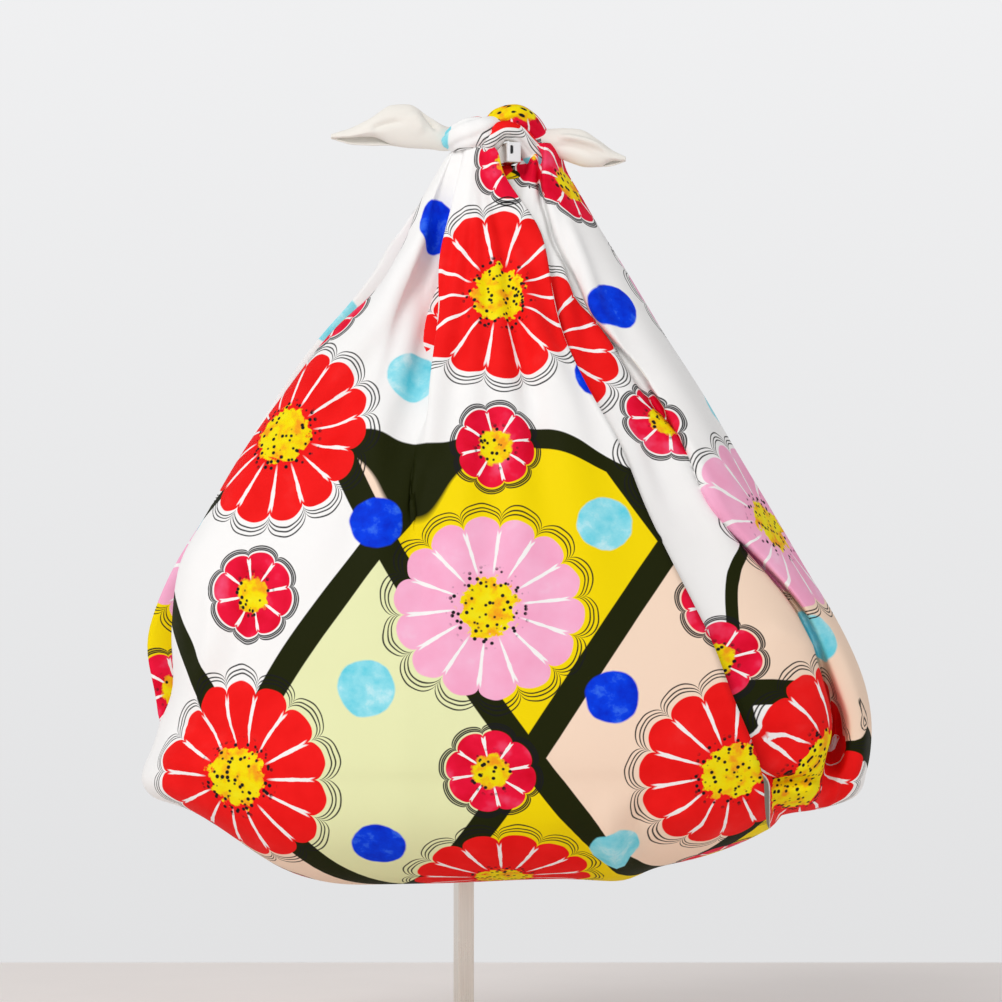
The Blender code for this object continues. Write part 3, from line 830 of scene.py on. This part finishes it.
def rosette(paint, cell, radius, petals, deep, shown):
    """Round flower: petals with pale rays between them, a yellow middle and thin outlines.

    shown pairs each colour wash with the mask of the cells that have it.
    """
    angle = cell.y.math("ARCTAN2", cell.x) + cell.seed * (2.0 * math.pi)
    wobble = (paint.noise(28.0) - 0.5) * (0.12 * radius)
    away = distance(cell.x, cell.y) + wobble
    beat = (angle * (petals / 2.0)).math("COSINE").math("ABSOLUTE")
    edge = away / (beat.math("POWER", 0.45) * 0.14 + 0.86)
    here = shown[0][0]
    for mask, _ in shown[1:]:
        here = here.math("MAXIMUM", mask)
    for ring in OUTLINES:
        outline = (edge - ring * radius).math("ABSOLUTE").within(0.0005, 0.0003)
        paint.lay(outline * here, INK_AND_SLOT_SHADE)
    disc = edge.within(radius, 0.0003)
    for mask, colours in shown:
        paint.lay(disc * mask, paint.wash(paint.noise(40.0, 3.0), colours))
    ray = (beat + (paint.noise(120.0) - 0.5) * 0.25).within(0.2, 0.03)
    reach = (edge / radius).within(0.93, 0.02)
    inner = (edge / radius * -1.0).within(-0.42, 0.05)
    paint.lay(disc * ray * reach * inner * here, WHITE)
    rough = (paint.noise(160.0, 3.0) - 0.5) * (0.35 * radius)
    heart = (away + rough).within(deep * radius, 0.0008)
    paint.lay(heart * here, paint.wash(paint.noise(90.0, 3.0), HEART))
    seeds = node_with(paint.tree, "ShaderNodeTexVoronoi", {"Scale": 230.0})
    paint.tree.links.new(paint.where, seeds.inputs["Vector"])
    near = Field(paint.tree, seeds.outputs["Distance"]).within(0.3, 0.06)
    scatter = away.within((deep + 0.12) * radius, 0.002)
    paint.lay(near * scatter * here, INK_AND_SLOT_SHADE)


def dots(paint, cell, radius, stops, number):
    """Plain mottled round dots in the cells whose number is below the given one."""
    wobble = (paint.noise(60.0) - 0.5) * (0.22 * radius)
    away = distance(cell.x, cell.y) + wobble
    shown = cell.seed.within(number, 0.001)
    tint = paint.wash(paint.noise(70.0, 4.0, 0.6), stops)
    paint.lay(away.within(radius, 0.0006) * shown, tint)


# The cotton: its thread's pitch in metres, its gloss, and the strength of a painted glow that stands
# in for light coming through it.
THREAD = 0.0006
COTTON_GLOSS = 0.08
PAINTED_GLOW = 0.05

# The print, in metres: its half-drop repeat across and up, the lattice's diamonds and how far they
# are moved, the lattice's upper border as a round with a pull to one side and a waver, and radii.
REPEAT = (0.16, 0.226)
PRINT_SHIFT = (0.03, 0.09)
DIAMOND = (0.2, 0.3)
DIAMOND_SHIFT = 0.02
BORDER_ROUND = 0.34
BORDER_PULL = 0.24
BORDER_WAVER = 0.3
BORDER_LINE = 0.009
LARGE_FLOWER = 0.064
SMALL_FLOWER = 0.029
CYAN_DOT = 0.019
COBALT_DOT = 0.018
OUTLINES = (1.06, 1.1, 1.15)
# Print ink, also laid in the cap's slot as painted shade.
INK_AND_SLOT_SHADE = (0.01, 0.01, 0.012)
WHITE = (0.95, 0.93, 0.92)
MOSS = (0.013, 0.016, 0.001)
HEART = ((0.35, (0.92, 0.35, 0.01)), (0.5, (0.92, 0.72, 0.0)), (0.7, (0.9, 0.8, 0.01)))
RED = ((0.3, (0.84, 0.006, 0.006)), (0.6, (0.91, 0.01, 0.01)), (0.8, (0.92, 0.025, 0.025)))
PINK = ((0.3, (0.93, 0.38, 0.58)), (0.6, (0.95, 0.46, 0.66)), (0.8, (0.95, 0.62, 0.78)))
CRIMSON = ((0.3, (0.7, 0.0, 0.02)), (0.55, (0.86, 0.006, 0.045)), (0.75, (0.9, 0.1, 0.22)))
CYAN = ((0.3, (0.12, 0.64, 0.78)), (0.55, (0.3, 0.76, 0.86)), (0.75, (0.64, 0.9, 0.94)))
COBALT = ((0.3, (0.0, 0.02, 0.58)), (0.55, (0.0, 0.05, 0.82)), (0.75, (0.06, 0.22, 0.92)))
FIELDS = (
    (0.0, (0.95, 0.73, 0.57)),
    (0.28, (0.82, 0.85, 0.48)),
    (0.5, (0.92, 0.7, 0.0)),
    (0.72, (0.9, 0.008, 0.008)),
    (0.84, (0.94, 0.935, 0.925)),
)


def printed_cotton(tint):
    """Cotton with a lattice below, round flowers, and plain dots above, over an off-white."""
    paint = Painter("printed_cotton", gloss=COTTON_GLOSS)
    paint.mottle(paint.noise(14.0), tint, 0.96)
    p = (paint.u + DIAMOND_SHIFT) / DIAMOND[0] + paint.v / DIAMOND[1]
    q = (paint.u + DIAMOND_SHIFT) / DIAMOND[0] - paint.v / DIAMOND[1]
    seed = (p.math("FLOOR") * 3.17 + q.math("FLOOR") * 5.71 + 0.37).math("SINE") * 917.3
    fields = paint.wash(seed.math("FRACT"), FIELDS)
    fields.node.color_ramp.interpolation = "CONSTANT"
    reach = distance(paint.u, paint.v)
    aside = (paint.u / reach).math("MAXIMUM", 0.0)
    waver = (paint.noise(6.0, 0.0) - 0.5) * BORDER_WAVER
    border = reach - aside * aside * BORDER_PULL - BORDER_ROUND + waver
    paint.lay(border.within(0.0, 0.0005), fields)
    lines = p.math("PINGPONG", 0.5).math("MINIMUM", q.math("PINGPONG", 0.5))
    bands = lines.within(0.055, 0.002) * border.within(0.0, 0.0005)
    rim = border.math("ABSOLUTE").within(BORDER_LINE, 0.0005)
    paint.lay(bands.math("MAXIMUM", rim), MOSS)
    wide, high = REPEAT
    u, v = PRINT_SHIFT
    dots(paint, half_drop(paint, u + wide / 2, v + high / 4), CYAN_DOT, CYAN, 1.0)
    dots(paint, half_drop(paint, u + wide / 2, v - high / 4), COBALT_DOT, COBALT, 0.85)
    small = half_drop(paint, u, v + high / 2)
    rosette(paint, small, SMALL_FLOWER, 8, 0.42, [(small.seed.within(1.0, 0.001), CRIMSON)])
    large = half_drop(paint, u, v)
    pink = (large.turn - 1.0).math("ABSOLUTE").within(0.5, 0.001)
    red = pink.within(0.5, 0.001)
    rosette(paint, large, LARGE_FLOWER, 14, 0.3, [(red, RED), (pink, PINK)])
    rough = paint.noise(300.0) * 0.12 + 0.6
    return paint.finish(rough, weave(paint), 0.12, 0.0002)


def plain_cotton(tint):
    """The cloth's unprinted side: an off-white with faint slubs and a faint painted glow that stands
    in for light through it.
    """
    paint = Painter("plain_cotton", gloss=COTTON_GLOSS)
    # Painted light: the plain side glows faintly in its own tint, standing in for light through the
    # cloth.
    paint.glow(tint, PAINTED_GLOW)
    paint.mottle(paint.noise(18.0, 3.0), tint, 0.9)
    rough = paint.noise(300.0) * 0.12 + 0.6
    return paint.finish(rough, weave(paint), 0.15, 0.0002)


def brushed_steel(tint):
    """Steel with fine lengthwise brushing and faint finger marks."""
    paint = Painter("brushed_steel", coords="object")
    brush = node_with(paint.tree, "ShaderNodeTexNoise", {"Scale": 1.0, "Detail": 3.0})
    stretch = node_with(paint.tree, "ShaderNodeMapping", {"Scale": (1800.0, 1800.0, 18.0)})
    paint.tree.links.new(paint.where, stretch.inputs["Vector"])
    paint.tree.links.new(stretch.outputs["Vector"], brush.inputs["Vector"])
    streaks = Field(paint.tree, brush.outputs["Fac"])
    paint.mottle(streaks, tint, 0.86)
    paint.shader.inputs["Metallic"].default_value = 1.0
    marks = paint.noise(22.0, 3.0) * 0.16
    return paint.finish(streaks * 0.12 + marks + 0.16, streaks, 0.06, 0.0001)


# The slot in the arm's end, whose shade is painted on the cap, in metres: across the turned arm, its
# middle, and its half height.
BAR_TURN = math.radians(19.5)
SLOT_ACROSS = -0.002
SLOT_MIDDLE = 0.6347
SLOT_HALF = 0.0019
SLOT_RADIUS = 0.00115


def white_plastic(tint):
    """Moulded plastic with a very fine grain, and painted shade inside the slot in the arm's end."""
    paint = Painter("cap_plastic", coords="object")
    paint.mottle(paint.noise(60.0), tint, 0.97)
    aside = paint.u * math.cos(BAR_TURN) + paint.v * math.sin(BAR_TURN) - SLOT_ACROSS
    above = ((paint.w - SLOT_MIDDLE).math("ABSOLUTE") - SLOT_HALF).math("MAXIMUM", 0.0)
    away = distance(aside, above)
    # Painted shade: the slot's hollow is laid dark on the cap's face.
    paint.lay(away.within(SLOT_RADIUS, 0.0001), INK_AND_SLOT_SHADE)
    return paint.finish(paint.noise(900.0) * 0.1 + 0.33, paint.noise(1500.0), 0.05, 0.0001)


def matte(name, tint, rough, scale, glow):
    """Painted or cast stage surface with a faint mottle and a faint glow."""
    paint = Painter(name, coords="object")
    paint.glow(tint, glow)
    paint.mottle(paint.noise(scale, 4.0), tint, 0.97)
    return paint.finish(rough, paint.noise(scale * 40), 0.04, 0.001)


def material(name, make, *tints):
    """Return the named material, made the first time it is asked for."""
    return bpy.data.materials.get(name) or make(*tints)


def thicken(thing):
    """Give a sheet the cloth's thickness, half to each side, and return the modifier."""
    thick = thing.modifiers.new("thickness", "SOLIDIFY")
    thick.thickness = bpy.context.scene.furoshiki_cloth.thickness
    thick.offset = 0.0
    return thick


def cotton_pair():
    """The printed face and the plain back of the cloth."""
    look = bpy.context.scene.furoshiki_cloth
    return (
        material("printed_cotton", printed_cotton, tuple(look.ground)),
        material("plain_cotton", plain_cotton, tuple(look.reverse)),
    )


def refined(stations, per_span):
    """A table's stations read by the cubic above, more finely."""
    table = np.array(stations, dtype=float)
    count = per_span * (len(table) - 1) + 1
    return smooth(np.arange(len(table)), table, np.linspace(0, len(table) - 1, count))


def band_grid(stations, twist, ridges):
    """Ellipse carried square to a path, its radius rippled by ridges that wind along it."""
    rows = refined(stations, BAND_ROWS)
    path = rows[:, :3]
    heading = np.gradient(path, axis=0)
    heading /= np.linalg.norm(heading, axis=1)[:, None]
    across = np.cross(heading, np.array([0.0, 1.0, 0.0]))
    across /= np.linalg.norm(across, axis=1)[:, None]
    depth = np.cross(heading, across)
    angles = np.linspace(0.0, 2 * math.pi, BAND_SIDES, endpoint=False)[None, :]
    run = np.linspace(0.0, 1.0, len(rows))[:, None]
    phase = ridges * angles + twist * run
    ripple = 1.0 - 0.17 * np.abs(np.sin(phase / 2)) ** 8 + 0.04 * np.sin(3 * angles + 5 * run)
    wide = (rows[:, 4][:, None] * np.cos(angles) * ripple)[..., None]
    thick = (rows[:, 3][:, None] * np.sin(angles) * ripple)[..., None]
    grid = path[:, None] + wide * across[:, None] + thick * depth[:, None]
    poles = np.repeat(path[[0, -1], None], BAND_SIDES, axis=1)
    return np.concatenate([poles[:1], grid, poles[1:]])


def corner_grid(name, stations):
    """Folded cloth along its stations: a flattened loop left open along its lower edge.

    Its front layer is lifted by the lip along that edge, and has the corner's folds pressed in.
    """
    rows = refined(stations, CORNER_ROWS)
    turn = np.linspace(-0.97, 0.97, CORNER_SIDES)[None, :] * math.pi
    x, y, z, high, thick, lip = (rows[:, i][:, None] for i in range(6))
    swell = np.sin(turn) * np.abs(np.sin(turn)) ** 0.3
    fall = np.clip(-np.cos(turn), 0.0, 1.0)
    lift = lip * high * fall * (turn < 0)
    grid = np.stack([x + 0 * turn, y + thick * swell, z + high * np.cos(turn) + lift], axis=2)
    return pressed(grid, name, np.clip(-1.6 * np.sin(turn), 0.0, 1.0) + 0 * x)


def colour_setting(name, description, default):
    """Colour property with a colour field in the panel."""
    return bpy.props.FloatVectorProperty(
        name=name, description=description, default=default, min=0.0, max=1.0, subtype="COLOR"
    )


def length_setting(name, description, default, low, high):
    """Length property in metres."""
    return bpy.props.FloatProperty(
        name=name, description=description, default=default, min=low, max=high, unit="LENGTH"
    )


class ClothSettings(bpy.types.PropertyGroup):
    """Sizes and colours of the cloth."""

    thickness: length_setting("Thickness", "How thick the shown cloth is", 0.001, 0.0004, 0.003)
    ground: colour_setting("Ground", "Colour of the cloth under the print", (0.94, 0.935, 0.925))
    reverse: colour_setting(
        "Reverse", "Colour of the unprinted side and the corners", (0.86, 0.83, 0.77)
    )


class StandSettings(bpy.types.PropertyGroup):
    """Colours of the stand."""

    steel: colour_setting("Steel", "Colour of the bars and the base", (0.82, 0.76, 0.69))
    cap: colour_setting("Cap", "Colour of the arm's end cap", (0.85, 0.85, 0.86))


class StageSettings(bpy.types.PropertyGroup):
    """Where the camera stands, and how bright the studio is."""

    distance: length_setting(
        "Camera distance",
        "From the camera to the stand's post",
        2.7,
        1.0,
        6.0,
    )
    height: length_setting(
        "Camera height",
        "Height of the camera, which looks up or down at the bag's middle",
        0.31,
        0.0,
        2.0,
    )
    brightness: bpy.props.FloatProperty(
        name="Brightness",
        description="Strength of the studio lights",
        default=1.0,
        min=0.0,
        max=10.0,
        subtype="FACTOR",
    )


class FUROSHIKI_OT_bag(bpy.types.Operator):
    """Make the hanging bag: the front, side and back panels as one hollow sheet."""

    bl_idname = "furoshiki.bag"
    bl_label = "Hanging bag"

    def execute(self, context):
        """Work out both grids, fold and print them, and give the sheet its thickness."""
        front = softened(front_panel(), SOFT_PASSES)
        mask = np.ones(front.shape[:2])
        mask[:, :TURNED] = 0.0
        about = softened(round_panel(front[0, TURNED:, 0]), SOFT_PASSES)
        front[1:, 1:-1] = pressed(front, "front", mask)[1:, 1:-1]
        front[1:, 1:-1] = draped(front, FRONT_THROAT, mask)[1:, 1:-1]
        seam = FINE * sum(SIDE_SPANS)
        sides = np.zeros(about.shape[:2])
        sides[:, :seam] = 1.0
        about[1:, 1:-1] = pressed(about, "side", sides)[1:, 1:-1]
        backs = np.zeros(about.shape[:2])
        backs[:, seam + SEAM_MARGIN : -TURNED] = 1.0
        about[1:, 1:-1] = pressed(about, "back", backs)[1:, 1:-1]
        about[1:, 1:-1] = draped(about, BACK_THROAT, sides + backs)[1:, 1:-1]
        front, about = stitched(front, about)
        seam_foot = front.shape[1] - TURNED
        flat_front = flattened(front, front.shape[1] // 2)
        flat_about = flattened(about, about.shape[1] - TURNED - seam_foot // 2)
        back_foot = flat_about[0, -TURNED - seam_foot : -TURNED][::-1]
        flat_about = turned_to(flat_about, back_foot, flat_front[0, TURNED:])
        points = np.concatenate([front.reshape(-1, 3), about.reshape(-1, 3)])
        cloth = np.concatenate([flat_front.reshape(-1, 2), flat_about.reshape(-1, 2)])
        first = front.shape[0] * front.shape[1]
        faces = np.concatenate(
            [grid_faces(*front.shape[:2]), grid_faces(*about.shape[:2], first=first)]
        )
        bag = mesh_piece("bag_cloth", points, faces, cloth, cotton_pair())
        weld(bag)
        thick = thicken(bag)
        thick.material_offset = 1
        thick.material_offset_rim = 1
        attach(bag, "root")
        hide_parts("wrap")
        return {"FINISHED"}


class FUROSHIKI_OT_knot(bpy.types.Operator):
    """Make the knot's four wrung bands."""

    bl_idname = "furoshiki.knot"
    bl_label = "Knot"

    def execute(self, context):
        """Carry each band's rippled ellipse along its path and close its ends."""
        printed, _ = cotton_pair()
        bands = {
            "knot_arch": (KNOT_ARCH, 9.0, 5, (103, 655)),
            "knot_left": (KNOT_LEFT, 4.0, 4, (-35, 648)),
            "knot_right": (KNOT_RIGHT, 5.0, 4, (197, 678)),
            "knot_under": (KNOT_UNDER, 3.0, 4, (40, 60)),
        }
        for name, (stations, twist, ridges, corner) in bands.items():
            grid = band_grid(stations, twist, ridges)
            rows, columns = grid.shape[:2]
            faces = grid_faces(rows, columns, ring=True)
            points = grid.reshape(-1, 3)
            around = corner[0] + np.linspace(0.0, BAND_GIRTH, columns)[None, :].repeat(rows, axis=0)
            steps = np.linalg.norm(np.diff(grid.mean(axis=1), axis=0), axis=1)
            run = np.concatenate([[0.0], np.cumsum(steps)])
            upward = corner[1] + run[:, None].repeat(columns, axis=1)
            cloth = np.stack([around, upward], axis=2).reshape(-1, 2)
            band = mesh_piece(name, points, faces, cloth, [printed])
            weld(band)
            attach(band, "root")
        return {"FINISHED"}


class FUROSHIKI_OT_corners(bpy.types.Operator):
    """Make the two loose corners that stick out of the knot."""

    bl_idname = "furoshiki.corners"
    bl_label = "Loose corners"

    def execute(self, context):
        """Carry the folded section along each corner and give it the cloth's thickness."""
        _, plain = cotton_pair()
        for name, stations in (("corner_left", LEFT_CORNER), ("corner_right", RIGHT_CORNER)):
            grid = corner_grid(name, stations)
            faces = grid_faces(*grid.shape[:2])
            across = row_lengths(grid)
            up = row_lengths(np.moveaxis(grid, 0, 1)).T
            cloth = np.stack([across, up], axis=2).reshape(-1, 2)
            corner = mesh_piece(name, grid.reshape(-1, 3), faces, cloth, [plain])
            thicken(corner)
            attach(corner, "root")
        return {"FINISHED"}


class FUROSHIKI_OT_cloth_size(bpy.types.Operator):
    """Name the knot's and corners' pieces; the cloth's flat size isn't worked out."""

    bl_idname = "furoshiki.cloth_size"
    bl_label = "Cloth size"

    def execute(self, context):
        """Only names the knot's and corners' pieces; no area is worked out. The square's own area is
        1.1025 square metres. The two corners tied inside aren't made, and what the knot, loose ends
        and those corners take of the cloth would be a guess.
        """
        names = ("knot_arch", "knot_left", "knot_right", "knot_under")
        names += ("corner_left", "corner_right")
        return {"FINISHED"}


class FUROSHIKI_OT_stand(bpy.types.Operator):
    """Finish the stand's steel and its plastic cap."""

    bl_idname = "furoshiki.stand"
    bl_label = "Stand"

    def execute(self, context):
        """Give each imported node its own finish."""
        look = context.scene.furoshiki_stand
        steel = material("brushed_steel", brushed_steel, tuple(look.steel))
        white = material("cap_plastic", white_plastic, tuple(look.cap))
        finishes = {"base_plate": steel, "post": steel, "arm": steel, "arm_cap": white}
        for name, finish in finishes.items():
            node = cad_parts[name]
            if not node.material_slots:
                node.data.materials.append(finish)
            for place in node.material_slots:
                place.material = finish
        return {"FINISHED"}


def stage_plane(name, corners, finish):
    """Flat stage surface from its four corners."""
    mesh = bpy.data.meshes.new(name)
    mesh.from_pydata(corners, [], [(0, 1, 2, 3)])
    mesh.materials.append(finish)
    thing = bpy.data.objects.new(name, mesh)
    bpy.context.scene.collection.objects.link(thing)
    return thing


def soft_light(name, place, aim, size, power):
    """Square softbox at a place, turned towards a point."""
    light = bpy.data.lights.new(name, "AREA")
    light.shape = "SQUARE"
    light.size = size
    light.energy = power
    lamp = bpy.data.objects.new(name, light)
    lamp.location = place
    towards = np.array(aim) - np.array(place)
    lamp.rotation_euler = (
        math.atan2(math.hypot(towards[0], towards[1]), -towards[2]),
        0.0,
        math.atan2(-towards[0], towards[1]),
    )
    bpy.context.scene.collection.objects.link(lamp)
    return lamp


# The stage, in metres: the point that is looked at, and the floor; the lens is in millimetres.
AIM = (0.027, -0.1, 0.388)
FLOOR_REACH = 9.0
FLOOR_END = 0.6
FLOOR_TINT = (0.84, 0.785, 0.755)
FLOOR_GLOW = 0.15
LENS = 133.4


class FUROSHIKI_OT_stage(bpy.types.Operator):
    """Set the floor, the bright surround, the key light and the camera."""

    bl_idname = "furoshiki.stage"
    bl_label = "Stage"

    def execute(self, context):
        """Place a pale floor, a bright surround, a softbox and a camera."""
        look = context.scene.furoshiki_stage
        floor = matte("pale_floor", FLOOR_TINT, 0.6, 8.0, FLOOR_GLOW)
        wide, far = FLOOR_REACH, FLOOR_END
        corners = [(-wide, -wide, 0), (wide, -wide, 0), (wide, far, 0), (-wide, far, 0)]
        stage_plane("floor", corners, floor)
        power = look.brightness
        soft_light("key_light", (-1.9, -3.4, 3.4), AIM, 1.7, 96.0 * power)
        world = bpy.data.worlds.new("studio")
        world.use_nodes = True
        tree = world.node_tree
        place = tree.nodes.new("ShaderNodeTexCoord")
        split = tree.nodes.new("ShaderNodeSeparateXYZ")
        tree.links.new(place.outputs["Generated"], split.inputs[0])
        height = split.outputs["Z"]
        high = Field(tree, mapped(tree, height, 0.25, 0.8, (0.87 * power, 0.34 * power)))
        low = Field(tree, mapped(tree, height, -0.09, 0.16, (0.885, 1.01)))
        shade = tree.nodes["Background"]
        shade.inputs["Color"].default_value = (0.988, 0.99, 1.0, 1.0)
        tree.links.new((high * low).source, shade.inputs["Strength"])
        context.scene.world = world
        context.scene.view_settings.view_transform = "Standard"
        data = bpy.data.cameras.new("camera")
        data.sensor_width = 36.0
        data.lens = LENS
        camera = bpy.data.objects.new("camera", data)
        camera.location = (AIM[0], -look.distance, look.height)
        rise = math.atan2(AIM[2] - look.height, look.distance + AIM[1])
        camera.rotation_euler = (math.pi / 2 + rise, 0.0, 0.0)
        context.scene.collection.objects.link(camera)
        context.scene.camera = camera
        return {"FINISHED"}


class FUROSHIKI_PT_panel(bpy.types.Panel):
    """Panel that lists the settings and the pieces."""

    bl_idname = "FUROSHIKI_PT_panel"
    bl_label = "Furoshiki wrap"
    bl_space_type = "VIEW_3D"
    bl_region_type = "UI"
    bl_category = "Furoshiki"

    def draw(self, context):
        """Draw each group of settings, then a button for each operator."""
        scene = context.scene
        for group in (scene.furoshiki_cloth, scene.furoshiki_stand, scene.furoshiki_stage):
            box = self.layout.box()
            for name in group.__annotations__:
                box.prop(group, name)
        for operator in OPERATORS:
            self.layout.operator(operator.bl_idname)


OPERATORS = (
    FUROSHIKI_OT_bag,
    FUROSHIKI_OT_knot,
    FUROSHIKI_OT_corners,
    FUROSHIKI_OT_cloth_size,
    FUROSHIKI_OT_stand,
    FUROSHIKI_OT_stage,
)
CLASSES = (ClothSettings, StandSettings, StageSettings, *OPERATORS, FUROSHIKI_PT_panel)


def register():
    """Register the classes and hang their settings on the scene."""
    for kind in CLASSES:
        bpy.utils.register_class(kind)
    bpy.types.Scene.furoshiki_cloth = bpy.props.PointerProperty(type=ClothSettings)
    bpy.types.Scene.furoshiki_stand = bpy.props.PointerProperty(type=StandSettings)
    bpy.types.Scene.furoshiki_stage = bpy.props.PointerProperty(type=StageSettings)


def unregister():
    """Take the settings off the scene and the classes away."""
    for name in ("furoshiki_cloth", "furoshiki_stand", "furoshiki_stage"):
        delattr(bpy.types.Scene, name)
    for kind in reversed(CLASSES):
        bpy.utils.unregister_class(kind)


def main():
    """Make every piece in order."""
    register()
    bpy.ops.furoshiki.stage()
    bpy.ops.furoshiki.bag()
    bpy.ops.furoshiki.knot()
    bpy.ops.furoshiki.corners()
    bpy.ops.furoshiki.cloth_size()
    bpy.ops.furoshiki.stand()


if __name__ == "__main__":
    main()
